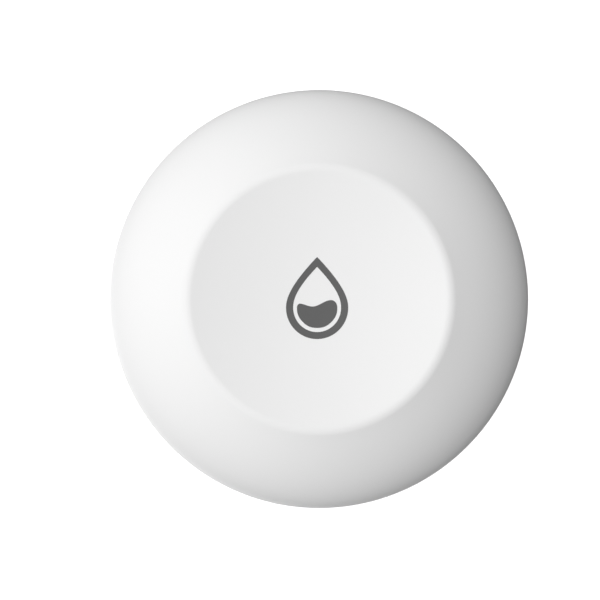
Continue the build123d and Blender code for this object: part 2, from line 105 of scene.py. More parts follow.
# %% [markdown]
# ## The floor
# The picture has a plain white ground with no shadow on it. A large plane that gives off a little light of
# its own stays white even beside the puck. It neither throws light back under the puck's edge nor keeps any
# off, as if the ground had been cut out of the picture. Its underside is clear, so the puck can be seen from
# below too.

# %% Make the floor
FLOOR_SIZE = 6.0
FLOOR_GREY = (0.9, 0.9, 0.9, 1)
FLOOR_ROUGHNESS = 0.9
FLOOR_GLOW = 0.75

bpy.ops.object.select_all(action="DESELECT")
bpy.ops.mesh.primitive_plane_add(size=FLOOR_SIZE, location=(0, 0, 0))
floor = bpy.context.object
floor.name = "floor"
floor.visible_diffuse = False
floor.visible_glossy = False
floor.visible_shadow = False

floor_paint = bpy.data.materials.new("floor_paint")
floor_paint.use_nodes = True
floor_tree = floor_paint.node_tree
floor_shader = floor_tree.nodes["Principled BSDF"]
floor_shader.inputs["Base Color"].default_value = FLOOR_GREY
floor_shader.inputs["Roughness"].default_value = FLOOR_ROUGHNESS
floor_shader.inputs["Emission Color"].default_value = (1, 1, 1, 1)
floor_shader.inputs["Emission Strength"].default_value = FLOOR_GLOW
floor_side = floor_tree.nodes.new("ShaderNodeNewGeometry")
floor_clear = floor_tree.nodes.new("ShaderNodeBsdfTransparent")
floor_mix = floor_tree.nodes.new("ShaderNodeMixShader")
floor_tree.links.new(floor_side.outputs["Backfacing"], floor_mix.inputs[0])
floor_tree.links.new(floor_shader.outputs[0], floor_mix.inputs[1])
floor_tree.links.new(floor_clear.outputs[0], floor_mix.inputs[2])
floor_tree.links.new(floor_mix.outputs[0], floor_tree.nodes["Material Output"].inputs["Surface"])
floor.data.materials.append(floor_paint)
print("floor", FLOOR_SIZE, "m square")

# %% [markdown]
# ## The light
# Nothing on the puck shines, and it fades evenly from its left to its right, out to the very edge. No lamp
# does that: a small one would leave the far side of the edge black. It takes a whole sky that is bright round
# one direction, high on the left, like a light tent with one lit wall, and that still has a faint band a
# quarter turn away from it, for the far edge. Its brightness is a ramp over how near a direction comes to the
# brightest one: the dot product of the two, where -1 is 0 on the ramp and 1 is 1. The camera itself sees
# plain white behind everything.

# %% Paint the sky
SKY_BEARING = math.radians(166)
SKY_RISE = math.radians(50)
SKY_STOPS = ((0.0, 0.0), (0.2, 0.0), (0.4, 0.75), (0.6, 0.42), (0.8, 0.67), (1.0, 2.36))
BACKDROP = 1.0

brightest = (
    math.cos(SKY_BEARING) * math.cos(SKY_RISE),
    math.sin(SKY_BEARING) * math.cos(SKY_RISE),
    math.sin(SKY_RISE),
)
world = bpy.data.worlds.new("studio")
bpy.context.scene.world = world
world.use_nodes = True
sky_tree = world.node_tree
sky_place = sky_tree.nodes.new("ShaderNodeTexCoord")
sky_near = sky_tree.nodes.new("ShaderNodeVectorMath")
sky_share = sky_tree.nodes.new("ShaderNodeMapRange")
sky_ramp = sky_tree.nodes.new("ShaderNodeValToRGB")
sky_path = sky_tree.nodes.new("ShaderNodeLightPath")
backdrop = sky_tree.nodes.new("ShaderNodeBackground")
sky_mix = sky_tree.nodes.new("ShaderNodeMixShader")
sky_near.operation = "DOT_PRODUCT"
sky_near.inputs[1].default_value = brightest
sky_share.inputs["From Min"].default_value = -1
sky_ramp.color_ramp.elements.remove(sky_ramp.color_ramp.elements[1])
for number, (place, grey) in enumerate(SKY_STOPS):
    stop = sky_ramp.color_ramp.elements[0] if number == 0 else sky_ramp.color_ramp.elements.new(place)
    stop.color = (grey, grey, grey, 1)
backdrop.inputs["Color"].default_value = (BACKDROP, BACKDROP, BACKDROP, 1)
sky_tree.links.new(sky_place.outputs["Generated"], sky_near.inputs[0])
sky_tree.links.new(sky_near.outputs["Value"], sky_share.inputs["Value"])
sky_tree.links.new(sky_share.outputs["Result"], sky_ramp.inputs["Fac"])
sky_tree.links.new(sky_ramp.outputs["Color"], sky_tree.nodes["Background"].inputs["Color"])
sky_tree.links.new(sky_path.outputs["Is Camera Ray"], sky_mix.inputs[0])
sky_tree.links.new(sky_tree.nodes["Background"].outputs[0], sky_mix.inputs[1])
sky_tree.links.new(backdrop.outputs[0], sky_mix.inputs[2])
sky_tree.links.new(sky_mix.outputs[0], sky_tree.nodes["World Output"].inputs["Surface"])
bpy.context.scene.view_settings.view_transform = "Standard"
print("the sky is brightest towards", [round(share, 2) for share in brightest])

# %% [markdown]
# The puck's underside would be dark, because this sky sends next to nothing straight up. A soft lamp below,
# which the floor lets through, shows the feet and the probes when someone looks from there. It stands a
# little to the lower left, so that it also lifts the puck's outermost edge there, as in the photograph.

# %% Light the underside
BELOW_DISTANCE = 0.6
BELOW_BEARING = math.radians(216)
BELOW_SINK = math.radians(71)
BELOW_SIZE = 0.5
BELOW_POWER = 1.6

bpy.ops.object.light_add(
    type="AREA",
    location=(
        BELOW_DISTANCE * math.cos(BELOW_SINK) * math.cos(BELOW_BEARING),
        BELOW_DISTANCE * math.cos(BELOW_SINK) * math.sin(BELOW_BEARING),
        -BELOW_DISTANCE * math.sin(BELOW_SINK),
    ),
    rotation=(math.pi / 2 + BELOW_SINK, 0, math.pi / 2 + BELOW_BEARING),
)
below = bpy.context.object
below.data.size = BELOW_SIZE
below.data.energy = BELOW_POWER
print("lamp", BELOW_DISTANCE, "m away, below the floor")

# %% [markdown]
# ## How a finish is written
# A finish is a small sum: a colour, a little noise here, a scratch there. Written out as nodes and links it
# is hard to read. Python lets a class say what plus, times and less-than mean for it, so this one stands for
# the output of a node, and each sum on it adds one Math node. What is done to it from the left, as in
# 1 - mask, has a form of its own.

# %% Sums with nodes


class Wire:
    """The output of a node, which sums can use like a number."""

    def __init__(self, finish, socket):
        self.finish = finish
        self.socket = socket

    def sum(self, operation, first, second=0.0):
        return self.finish.node("ShaderNodeMath", {"operation": operation}, {0: first, 1: second})

    def __add__(self, other):
        return self.sum("ADD", self, other)

    def __sub__(self, other):
        return self.sum("SUBTRACT", self, other)

    def __rsub__(self, other):
        return self.sum("SUBTRACT", other, self)

    def __mul__(self, other):
        return self.sum("MULTIPLY", self, other)

    def __truediv__(self, other):
        return self.sum("DIVIDE", self, other)

    def __pow__(self, other):
        return self.sum("POWER", self, other)

    def __gt__(self, other):
        return self.sum("GREATER_THAN", self, other)

    def __lt__(self, other):
        return self.sum("LESS_THAN", self, other)

    def __mod__(self, other):
        return self.sum("FLOORED_MODULO", self, other)

    def __abs__(self):
        return self.sum("ABSOLUTE", self)

    __radd__ = __add__
    __rmul__ = __mul__

    def sine(self):
        return self.sum("SINE", self)


print("sums on nodes are ready")

# %% [markdown]
# The second class holds the material. One method makes any node from its type, its settings and what goes
# into its sockets, and the rest of its methods are the few patterns that nearly every finish is made of.
# Places come in millimetres from the piece's own origin, so a pattern keeps its size and stays put when the
# piece moves.

# %% A material in the making


class Finish:
    """A material, its nodes and its shader. Sockets that stay steady are given by their names."""

    def __init__(self, name, colour, roughness, **steady):
        self.material = bpy.data.materials.new(name)
        self.material.use_nodes = True
        self.tree = self.material.node_tree
        self.shader = self.tree.nodes["Principled BSDF"]
        self.set("Base Color", colour)
        self.set("Roughness", roughness)
        for socket, value in steady.items():
            self.set(socket.replace("_", " ").title().replace("Ior", "IOR"), value)

    def node(self, kind, settings, inputs, output=0):
        """A node of any kind: its settings first, then the values or links of its sockets."""
        made = self.tree.nodes.new(kind)
        for name, value in settings.items():
            if name == "stops":
                self.fill_ramp(made.color_ramp, value)
            else:
                setattr(made, name, value)
        for socket, value in inputs.items():
            self.feed(made.inputs[socket], value)
        return Wire(self, made.outputs[output])

    def fill_ramp(self, ramp, stops):
        while len(ramp.elements) > 1:
            ramp.elements.remove(ramp.elements[-1])
        for number, (place, colour) in enumerate(stops):
            stop = ramp.elements[0] if number == 0 else ramp.elements.new(place)
            stop.position = place
            stop.color = (*colour, 1)

    def feed(self, socket, value):
        if isinstance(value, Wire):
            self.tree.links.new(value.socket, socket)
        elif isinstance(value, tuple) and socket.type == "RGBA":
            socket.default_value = (*value, 1)
        else:
            socket.default_value = value

    def set(self, socket, value):
        self.feed(self.shader.inputs[socket], value)

    def place(self):
        """Where a point lies on the piece, in millimetres, as a vector."""
        point = self.node("ShaderNodeTexCoord", {}, {}, "Object")
        return self.node("ShaderNodeVectorMath", {"operation": "SCALE"}, {0: point, "Scale": 1 / MM})

    def axes(self, place):
        """The three numbers of a vector."""
        split = self.node("ShaderNodeSeparateXYZ", {}, {0: place}).socket.node
        return [Wire(self, socket) for socket in split.outputs]

    def noise(self, place, size, detail=2.0, stretch=(1, 1, 1)):
        """Cloudy noise from 0 to 1, with patches of about that size in millimetres."""
        scaled = self.node("ShaderNodeVectorMath", {"operation": "MULTIPLY"}, {0: place, 1: stretch})
        return self.node("ShaderNodeTexNoise", {}, {"Vector": scaled, "Scale": 1 / size, "Detail": detail})

    def blend(self, factor, first, second):
        """A mix of two colours."""
        return self.node(
            "ShaderNodeMix", {"data_type": "RGBA"}, {0: factor, 6: first, 7: second}, 2
        )

    def smooth(self, value, low, high):
        """0 below low, 1 above high, and a soft step between."""
        return self.node(
            "ShaderNodeMapRange", {"interpolation_type": "SMOOTHSTEP"}, {0: value, 1: low, 2: high}
        )

    def bump(self, height, depth, **surface):
        """Relief on the surface: a height from 0 to 1 and its depth in millimetres."""
        relief = {"Height": height, "Distance": depth * MM, "Strength": 1.0, **surface}
        self.set("Normal", self.node("ShaderNodeBump", {}, relief))


print("a finish has", ", ".join(name for name in vars(Finish) if not name.startswith("_")))

# %% Dress the loaded pieces


def dress(finish, *nodes):
    """Gives loaded pieces a finish."""
    for name in nodes:
        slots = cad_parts[name].data.materials
        slots.clear()
        slots.append(finish.material)
    print(finish.material.name, "on", ", ".join(nodes))


print(len(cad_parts), "pieces to dress")

# %% [markdown]
# ## The true curve of the rim
# The cover's mesh has only a few facets across the tight rounding between the dish and the crown, and its
# shading breaks at both ends of it. The real section is simple, though: its lean, which is the sine of its
# slope, grows evenly with the radius, once slowly backwards in the dish and once fast over the rim, until the
# cone holds it. So the finish can work out where the surface really faces there, as a vector, and the
# rest of the cover keeps the mesh's own directions.

# %% Work out where the rim faces
CROWN_WIDTH = 9.57
CREST_RADIUS = puck_radius / MM - CROWN_WIDTH
DISH_SPAN = 87.6
RIM_ROUNDING = 1.75
CONE_LEAN = math.sin(math.radians(31))
CONE_END = 17.7
TOP_FROM = 12.5
MIDDLE_RADIUS = 0.1


def rim_direction(finish, place):
    """Where the true surface of the cover faces, from the middle of the dish to the end of the cone."""
    across, along, up = finish.axes(place)
    radius = (across * across + along * along) ** 0.5
    dish_lean = radius * (-1 / DISH_SPAN)
    rim_lean = (radius - CREST_RADIUS) * (1 / RIM_ROUNDING)
    lean = radius.sum("MINIMUM", radius.sum("MAXIMUM", dish_lean, rim_lean), CONE_LEAN)
    outwards = lean / radius.sum("MAXIMUM", radius, MIDDLE_RADIUS)
    upwards = (1 - lean * lean) ** 0.5
    true = finish.node("ShaderNodeCombineXYZ", {}, {0: across * outwards, 1: along * outwards, 2: upwards})
    turned = finish.node(
        "ShaderNodeVectorTransform",
        {"vector_type": "NORMAL", "convert_from": "OBJECT", "convert_to": "WORLD"}, {0: true},
    )
    meshed = finish.node("ShaderNodeNewGeometry", {}, {}, "Normal")
    facing_up = finish.axes(finish.node("ShaderNodeTexCoord", {}, {}, "Normal"))[2] > 0.5
    on_top = (radius < CONE_END) * (up > TOP_FROM) * facing_up
    return finish.node("ShaderNodeMix", {"data_type": "VECTOR"}, {0: on_top, 4: meshed, 5: turned}, 1)


print("the crest stands", round(CREST_RADIUS, 2), "mm from the middle")

# %% [markdown]
# ## White plastic
# The cover is moulded in a tool whose walls were eroded by sparks, which leaves a very fine grain. That
# grain, a hint of waviness and the softest stains in the sheen are what tell plastic from paper. The
# colour stays nearly even: two whites a percent or two apart.

# %% The plastic of the casing
GLOSS = 0.25
CLOUD_SIZE = 9.0
GRAIN_DETAIL = 3.0
CLOUD_SHEEN, GRAIN_SHEEN = 0.08, 0.1
WHITE, OFF_WHITE = (0.80, 0.80, 0.80), (0.785, 0.785, 0.785)
BASE_WHITE, BASE_OFF_WHITE = (0.76, 0.76, 0.755), (0.74, 0.74, 0.735)
BLACK, FADED_BLACK = (0.022, 0.022, 0.023), (0.03, 0.03, 0.03)
NYLON, YELLOWED_NYLON = (0.62, 0.60, 0.54), (0.56, 0.54, 0.48)


def moulded(name, light, dark, grain_size, grain_depth, sheen, surface=None):
    """Spark-eroded plastic: two close colours, and a grain with its size and depth in millimetres."""
    finish = Finish(name, light, sheen)
    place = finish.place()
    cloud = finish.noise(place, CLOUD_SIZE)
    grain = finish.noise(place, grain_size, GRAIN_DETAIL)
    finish.set("Specular IOR Level", GLOSS)
    finish.set("Base Color", finish.blend(cloud, light, dark))
    finish.set("Roughness", sheen + (cloud - 0.5) * CLOUD_SHEEN + (grain - 0.5) * GRAIN_SHEEN)
    if surface:
        finish.bump(grain, grain_depth, Normal=surface(finish, place))
    else:
        finish.bump(grain, grain_depth)
    return finish


cover_plastic = moulded("cover_plastic", WHITE, OFF_WHITE, 0.22, 0.006, 0.48, rim_direction)
base_plastic = moulded("base_plastic", BASE_WHITE, BASE_OFF_WHITE, 0.30, 0.012, 0.55)
black_plastic = moulded("black_plastic", BLACK, FADED_BLACK, 0.25, 0.01, 0.5)
nylon = moulded("nylon", NYLON, YELLOWED_NYLON, 0.4, 0.006, 0.4)
dress(cover_plastic, "top_cover")
dress(base_plastic, "base_housing", "battery_cover")
dress(black_plastic, "battery_holder", "switch_body", "switch_plunger")
dress(nylon, "battery_grommet")

# %% [markdown]
# ## Rubber
# The seals are silicone: dull, slightly dusty, and a little paler where the dust has settled. Dust is a
# cloud of noise that lifts both the colour and the roughness.

# %% The seals
DUST_SIZE = 0.8
PORE_SIZE, PORE_DEPTH = 0.12, 0.008
GREY_RUBBER, GREY_DUST = (0.10, 0.105, 0.11), (0.19, 0.19, 0.19)
BLACK_RUBBER, BLACK_DUST = (0.015, 0.015, 0.016), (0.07, 0.07, 0.068)


def rubber(name, colour, dusty):
    """Soft moulded rubber with dust on it."""
    finish = Finish(name, colour, 0.75)
    place = finish.place()
    dust = finish.smooth(finish.noise(place, DUST_SIZE, 4.0), 0.48, 0.72)
    finish.set("Base Color", finish.blend(dust * 0.6, colour, dusty))
    finish.set("Roughness", dust * 0.18 + 0.68)
    finish.bump(finish.noise(place, PORE_SIZE, 2.0), PORE_DEPTH)
    return finish


grey_rubber = rubber("grey_rubber", GREY_RUBBER, GREY_DUST)
black_rubber = rubber("black_rubber", BLACK_RUBBER, BLACK_DUST)
dress(grey_rubber, "cover_seal")
dress(black_rubber, "battery_cover_seal", "probe_washer_right", "probe_washer_left")

# %% [markdown]
# ## Turned metal
# A lathe leaves fine rings round the axis of a screw. The rings need that axis, so each finish is told
# where it stands. The sensor has its screws in pairs, one at each side of the middle, and the absolute
# value of x or y folds the two places into one, so a single finish serves both.

# %% The screws and spacers
TARNISH_SIZE = 1.1
RING_DEPTH = 0.004
SCREW_HEAD_RADIUS = 1.8
STEEL, DULL_STEEL = (0.66, 0.66, 0.65), (0.42, 0.40, 0.37)
BRASS, DULL_BRASS = (0.72, 0.52, 0.22), (0.45, 0.30, 0.12)
ZINC, DULL_ZINC = (0.58, 0.60, 0.62), (0.40, 0.40, 0.38)


def turned_metal(name, bright, dull, axis_x, axis_y, ring_width):
    """Metal with lathe rings round a pair of upright axes, given in millimetres."""
    finish = Finish(name, bright, 0.3, metallic=1.0)
    place = finish.place()
    across, along, _ = finish.axes(place)
    from_x = abs(across) - axis_x
    from_y = abs(along) - axis_y
    radius = (from_x * from_x + from_y * from_y) ** 0.5
    rings = (radius * (math.tau / ring_width)).sine() * 0.5 + 0.5
    tarnish = finish.smooth(finish.noise(place, TARNISH_SIZE, 4.0), 0.45, 0.75)
    finish.set("Base Color", finish.blend(tarnish, bright, dull))
    finish.set("Roughness", rings * 0.10 + tarnish * 0.22 + 0.22)
    finish.bump(rings, RING_DEPTH)
    return finish


def middle(node):
    """The middle of a piece, in millimetres."""
    low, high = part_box(node)
    return [abs(a + b) / 2 / MM for a, b in zip(low, high)]


probe_x, probe_y, _ = middle("probe_screw_right")
screw_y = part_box("board_screws")[1][1] / MM - SCREW_HEAD_RADIUS
stainless = turned_metal("stainless", STEEL, DULL_STEEL, probe_x, probe_y, 0.12)
turned_brass = turned_metal("turned_brass", BRASS, DULL_BRASS, probe_x, probe_y, 0.16)
zinc = turned_metal("zinc", ZINC, DULL_ZINC, 0.0, screw_y, 0.14)
dress(stainless, "probe_screw_right", "probe_screw_left")
dress(turned_brass, "probe_spacer_right", "probe_spacer_left")
dress(zinc, "board_screws")

# %% [markdown]
# ## The coin cell
# The can is drawn from nickel-plated steel and polished on a wheel, so it has rings round the middle and a
# few straight scratches from being slid in and out. Scratches are noise that is stretched a long way in one
# direction and then cut off so high that only its crests are left. The pole sign is struck into its flat
# side: two bars that cross, sunk a little way in.

# %% The cell's steel
SCRATCH_WIDTH = 0.1
POLISH_RING_WIDTH = 0.15
SMEAR_SIZE = 3.5
MARK_DEPTH = 0.003
POLE_BAR_LENGTH = 2.6
POLE_BAR_WIDTH = 0.45
POLE_DEPTH_SHARE = 8
FACE_REACH = 0.1
NICKEL, DULL_NICKEL = (0.68, 0.67, 0.64), (0.50, 0.48, 0.45)


def scratched_steel(name, bright, dull):
    """Plated steel with polishing rings round the middle, handling scratches and a pole sign."""
    finish = Finish(name, bright, 0.25, metallic=1.0)
    place = finish.place()
    across, along, up = finish.axes(place)
    radius = (across * across + along * along) ** 0.5
    round_place = finish.node("ShaderNodeCombineXYZ", {}, {0: radius, 1: up})
    rings = finish.noise(round_place, POLISH_RING_WIDTH, 3.0)
    slide = finish.smooth(finish.noise(place, SCRATCH_WIDTH, 2.0, (0.04, 1.3, 1)), 0.66, 0.72)
    cross = finish.smooth(finish.noise(place, SCRATCH_WIDTH, 2.0, (1.1, 0.05, 1)), 0.68, 0.74)
    marks = slide + cross
    smear = finish.smooth(finish.noise(place, SMEAR_SIZE, 3.0), 0.4, 0.7)
    bar = (abs(across) < POLE_BAR_LENGTH / 2) * (abs(along) < POLE_BAR_WIDTH / 2)
    post = (abs(across) < POLE_BAR_WIDTH / 2) * (abs(along) < POLE_BAR_LENGTH / 2)
    can_face = up < (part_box("battery_can")[0][2] / MM + FACE_REACH)
    pole = bar.sum("MAXIMUM", bar, post) * can_face
    finish.set("Base Color", finish.blend(marks * 0.4 + smear * 0.14 + pole * 0.3, bright, dull))
    finish.set("Roughness", rings * 0.16 + smear * 0.07 + marks * 0.2 + pole * 0.3 + 0.14)
    finish.bump(rings * 0.4 - marks - pole * POLE_DEPTH_SHARE, MARK_DEPTH)
    return finish


cell_steel = scratched_steel("polished_steel", NICKEL, DULL_NICKEL)
dress(cell_steel, "battery_can", "battery_cap", "crystal", "switch_plate")

# %% [markdown]
# The electrodes inside the cell are pressed powder: nearly black, with a coarse matt grain.

# %% The cell's electrodes
POWDER_SIZE, POWDER_DEPTH = 0.3, 0.03

powder = Finish("electrode_powder", (0.03, 0.03, 0.032), 0.9)
powder_grain = powder.noise(powder.place(), POWDER_SIZE, 5.0)
powder.set("Base Color", powder.blend(powder_grain, (0.018, 0.018, 0.02), (0.05, 0.05, 0.052)))
powder.bump(powder_grain, POWDER_DEPTH)
dress(powder, "battery_pellet")

# %% [markdown]
# ## Spring contacts
# The contacts are stamped from strip. The rolls leave fine lines along the strip, and the plating is a warm
# nickel. All three run along x, so the lines do as well.

# %% The contacts' metal
WARM_NICKEL, DULL_STRIP = (0.70, 0.66, 0.56), (0.58, 0.53, 0.43)
ROLL_LINE_WIDTH, ROLL_LINE_DEPTH = 0.06, 0.002
STAIN_SIZE = 1.5

strip = Finish("contact_strip", WARM_NICKEL, 0.3, metallic=1.0)
strip_place = strip.place()
roll_lines = strip.noise(strip_place, ROLL_LINE_WIDTH, 2.0, (0.03, 1, 1))
strip_stain = strip.smooth(strip.noise(strip_place, STAIN_SIZE, 3.0), 0.3, 0.9)
strip.set("Base Color", strip.blend(strip_stain, WARM_NICKEL, DULL_STRIP))
strip.set("Roughness", roll_lines * 0.2 + strip_stain * 0.15 + 0.18)
strip.bump(roll_lines, ROLL_LINE_DEPTH)
dress(strip, "positive_contact_right", "positive_contact_left", "negative_contact")
dress(strip, "switch_dome", "switch_terminals")

# %% [markdown]
# ## The circuit board
# A board is copper tracks under green lacquer on a straw-coloured laminate. The tracks show as slightly
# raised, paler lines. They are bands of a repeating grid, and a slow noise decides where they run along x
# and where along y. The lacquer covers the faces only, so the rim shows the laminate.

# %% The board's lacquer
LACQUER = (0.010, 0.085, 0.035)
OVER_COPPER = (0.022, 0.16, 0.062)
LAMINATE = (0.42, 0.36, 0.18)
TINNED = (0.60, 0.58, 0.54)
TRACK_SPACING = 0.9
HALF_TRACK = 0.13
PAD_RADIUS_SQUARED = 0.02
TRACK_ZONE_SIZE, PAD_ZONE_SIZE = 4.5, 2.6
COPPER_DEPTH = 0.02

board = Finish("board_lacquer", LACQUER, 0.35)
board_place = board.place()
board_x, board_y, board_z = board.axes(board_place)
zones = board.noise(board_place, TRACK_ZONE_SIZE, 0.0)
along_x = (abs(board_y / TRACK_SPACING % 1.0 - 0.5) < HALF_TRACK) * (zones > 0.55)
along_y = (abs(board_x / TRACK_SPACING % 1.0 - 0.5) < HALF_TRACK) * (zones < 0.44)
tracks = along_x + along_y
hole_x = board_x / (2 * TRACK_SPACING) % 1.0 - 0.5
hole_y = board_y / (2 * TRACK_SPACING) % 1.0 - 0.5
pad_zones = board.noise(board_place, PAD_ZONE_SIZE, 0.0) > 0.58
pads = ((hole_x * hole_x + hole_y * hole_y) < PAD_RADIUS_SQUARED) * pad_zones
facing = board.axes(board.node("ShaderNodeNewGeometry", {}, {}, "Normal"))[2]
rim = abs(facing) < 0.5
lacquer = board.blend(tracks, LACQUER, OVER_COPPER)
printed = board.blend(pads, lacquer, TINNED)
board.set("Base Color", board.blend(rim, printed, LAMINATE))
board.set("Metallic", pads * 0.9)
board.set("Roughness", rim * 0.45 + board.noise(board_place, 0.5, 2.0) * 0.12 + 0.26)
board.bump(tracks + pads, COPPER_DEPTH)
dress(board, "circuit_board")

# %% [markdown]
# The aerial is the same copper, but its lacquer is left off and the copper is gilded so that it stays bright.

# %% The aerial's gilding
BRIGHT_GILT, WORN_GILT = (0.80, 0.55, 0.22), (0.66, 0.42, 0.15)
GILT_CLOUD_SIZE = 0.7
PLATING_GRAIN, PLATING_DEPTH = 0.1, 0.004

gilt = Finish("gilt_copper", BRIGHT_GILT, 0.3, metallic=1.0)
gilt_place = gilt.place()
gilt_cloud = gilt.noise(gilt_place, GILT_CLOUD_SIZE, 3.0)
gilt.set("Base Color", gilt.blend(gilt_cloud, BRIGHT_GILT, WORN_GILT))
gilt.set("Roughness", gilt_cloud * 0.2 + 0.2)
gilt.bump(gilt.noise(gilt_place, PLATING_GRAIN, 2.0), PLATING_DEPTH)
dress(gilt, "board_aerial")

# %% [markdown]
# ## Parts on the board
# Chips are moulded from black epoxy filled with glass, which glitters a little and is never quite smooth.
# The storage capacitor is mustard-coloured with a dark band at its positive end, and the small parts are
# fired ceramic, some pale and some dark.

# %% The chips
EPOXY_GRAIN_SIZE, EPOXY_GRAIN_DEPTH = 0.09, 0.01

epoxy = Finish("chip_epoxy", (0.02, 0.02, 0.021), 0.5)
epoxy_grain = epoxy.noise(epoxy.place(), EPOXY_GRAIN_SIZE, 4.0)
epoxy.set("Base Color", epoxy.blend(epoxy_grain, (0.014, 0.014, 0.015), (0.035, 0.035, 0.036)))
epoxy.set("Roughness", epoxy_grain * 0.3 + 0.35)
epoxy.bump(epoxy_grain, EPOXY_GRAIN_DEPTH)
dress(epoxy, "radio_chip", "memory_chip")

# %% The capacitor
BAND_WIDTH = 0.7
MUSTARD, DARK_MUSTARD = (0.55, 0.33, 0.04), (0.48, 0.28, 0.03)
BAND_BROWN = (0.16, 0.07, 0.02)
CASE_GRAIN_SIZE, CASE_GRAIN_DEPTH = 0.2, 0.006

mustard = Finish("capacitor_case", MUSTARD, 0.5)
mustard_place = mustard.place()
mustard_x = mustard.axes(mustard_place)[0]
band = mustard_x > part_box("storage_capacitor")[1][0] / MM - BAND_WIDTH
mustard_grain = mustard.noise(mustard_place, CASE_GRAIN_SIZE, 3.0)
case = mustard.blend(mustard_grain, MUSTARD, DARK_MUSTARD)
mustard.set("Base Color", mustard.blend(band, case, BAND_BROWN))
mustard.set("Roughness", mustard_grain * 0.2 + 0.4)
mustard.bump(mustard_grain, CASE_GRAIN_DEPTH)
dress(mustard, "storage_capacitor")

# %% The small parts
TAN, NEARLY_BLACK = (0.38, 0.27, 0.16), (0.03, 0.03, 0.03)
PIECE_SPACING = 2.8
CERAMIC_GRAIN_SIZE = 0.2

ceramic = Finish("fired_ceramic", TAN, 0.6)
ceramic_place = ceramic.place()
dark_ones = ceramic.noise(ceramic_place, PIECE_SPACING, 0.0) > 0.5
ceramic.set("Base Color", ceramic.blend(dark_ones, TAN, NEARLY_BLACK))
ceramic.set("Roughness", ceramic.noise(ceramic_place, CERAMIC_GRAIN_SIZE, 2.0) * 0.3 + 0.35)
dress(ceramic, "small_parts")

# %% [markdown]
# ## Light and light guide
# The lamp is a white block with a yellow lens, and the rod above it is clear acrylic that carries its light
# up to the thin spot of the dish. Acrylic is glass-like: light goes through it and bends.

# %% The lamp and its rod
LENS_HEIGHT = 0.15
LAMP_WHITE, LENS_YELLOW = (0.80, 0.80, 0.78), (0.80, 0.62, 0.12)
ACRYLIC_IOR = 1.49

lamp = Finish("lamp_body", LAMP_WHITE, 0.4)
lamp_place = lamp.place()
lens = lamp.axes(lamp_place)[2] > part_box("status_led")[1][2] / MM - LENS_HEIGHT
lamp_cloud = lamp.noise(lamp_place, 0.3, 2.0)
lamp.set("Base Color", lamp.blend(lens, LAMP_WHITE, LENS_YELLOW))
lamp.set("Roughness", lamp_cloud * 0.2 + 0.25)
dress(lamp, "status_led")

acrylic = Finish("acrylic", (0.92, 0.94, 0.95), 0.06, ior=ACRYLIC_IOR, transmission_weight=0.9)
acrylic.set("Roughness", acrylic.noise(acrylic.place(), 1.5, 3.0) * 0.08 + 0.03)
dress(acrylic, "light_guide")

# %% [markdown]
# ## The snap dome
# Under the plunger lies a thin spring dome, which flattens with a click. The model's dome is rigid, so a
# pressed plunger would run into it. This one is a slice off the top of a large sphere, with the thickness of
# its sheet.

# %% Make the snap dome
DOME_SHEET = 0.08 * MM
DOME_SIDES, DOME_RINGS = 64, 96
CUT_PRECISION = MM / 1000
ROUND_BELOW = math.radians(40)


def apply_modifier(piece, kind, **settings):
    """Adds a modifier with its settings and applies it."""
    modifier = piece.modifiers.new(kind.lower(), kind)
    for name, value in settings.items():
        setattr(modifier, name, value)
    bpy.context.view_layer.objects.active = piece
    bpy.ops.object.modifier_apply(modifier=modifier.name)


dome_low, dome_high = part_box("switch_dome")
dome_reach = dome_high[0]
dome_rise = dome_high[2] - dome_low[2] - DOME_SHEET
dome_curve = (dome_reach ** 2 + dome_rise ** 2) / (2 * dome_rise)
bpy.ops.object.select_all(action="DESELECT")
bpy.ops.mesh.primitive_uv_sphere_add(
    segments=DOME_SIDES, ring_count=DOME_RINGS, radius=dome_curve,
    location=(0, 0, dome_high[2] - dome_curve),
)
snap_dome = bpy.context.object
snap_dome.name = "snap_dome"
bpy.ops.object.transform_apply(location=True, rotation=True, scale=True)
bpy.ops.object.mode_set(mode="EDIT")
bpy.ops.mesh.select_all(action="SELECT")
bpy.ops.mesh.bisect(
    plane_co=(0, 0, dome_low[2] + DOME_SHEET), plane_no=(0, 0, 1), clear_inner=True,
    threshold=CUT_PRECISION,
)
bpy.ops.object.mode_set(mode="OBJECT")
apply_modifier(snap_dome, "SOLIDIFY", thickness=DOME_SHEET, offset=-1.0)
bpy.ops.object.shade_smooth_by_angle(angle=ROUND_BELOW)
snap_dome.data.materials.clear()
snap_dome.data.materials.append(strip.material)
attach(snap_dome, "base")
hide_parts("switch_dome")
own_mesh(snap_dome)
print("snap dome", len(snap_dome.data.polygons), "faces")

# %% [markdown]
# ## The drop sign
# A grey drop with water standing in it is printed in the middle of the dish. Ink has almost no thickness,
# but it is a layer of its own with a crisp edge, so it is made as a thin sheet that follows the dish. The
# outline starts as a circle whose top is pulled up into a point, once for the outside and once, smaller,
# for the inside. Curves that are filled together leave the inner one open, which gives the ring.

# %% Lay a flat shape on the dish
INK_THICKNESS = 0.015 * MM
SIGN_X, SIGN_Y = -0.23 * MM, -1.04 * MM
ABOVE_THE_DISH = puck_height + MM
CURVE_STEPS = 32


def add_circle(name, radius):
    """A flat closed curve at the place of the sign: its points are left, top, right and bottom."""
    bpy.ops.object.select_all(action="DESELECT")
    bpy.ops.curve.primitive_bezier_circle_add(radius=radius, location=(SIGN_X, SIGN_Y, ABOVE_THE_DISH))
    curve = bpy.context.object
    curve.name = name
    curve.data.dimensions = "2D"
    curve.data.fill_mode = "BOTH"
    curve.data.resolution_u = CURVE_STEPS
    return curve


def shape_point(point, place, before, after):
    """Moves a point of a curve. Its two handles are given as steps from it."""
    point.handle_left_type = point.handle_right_type = "FREE"
    point.co = (*place, 0)
    point.handle_left = (place[0] + before[0], place[1] + before[1], 0)
    point.handle_right = (place[0] + after[0], place[1] + after[1], 0)


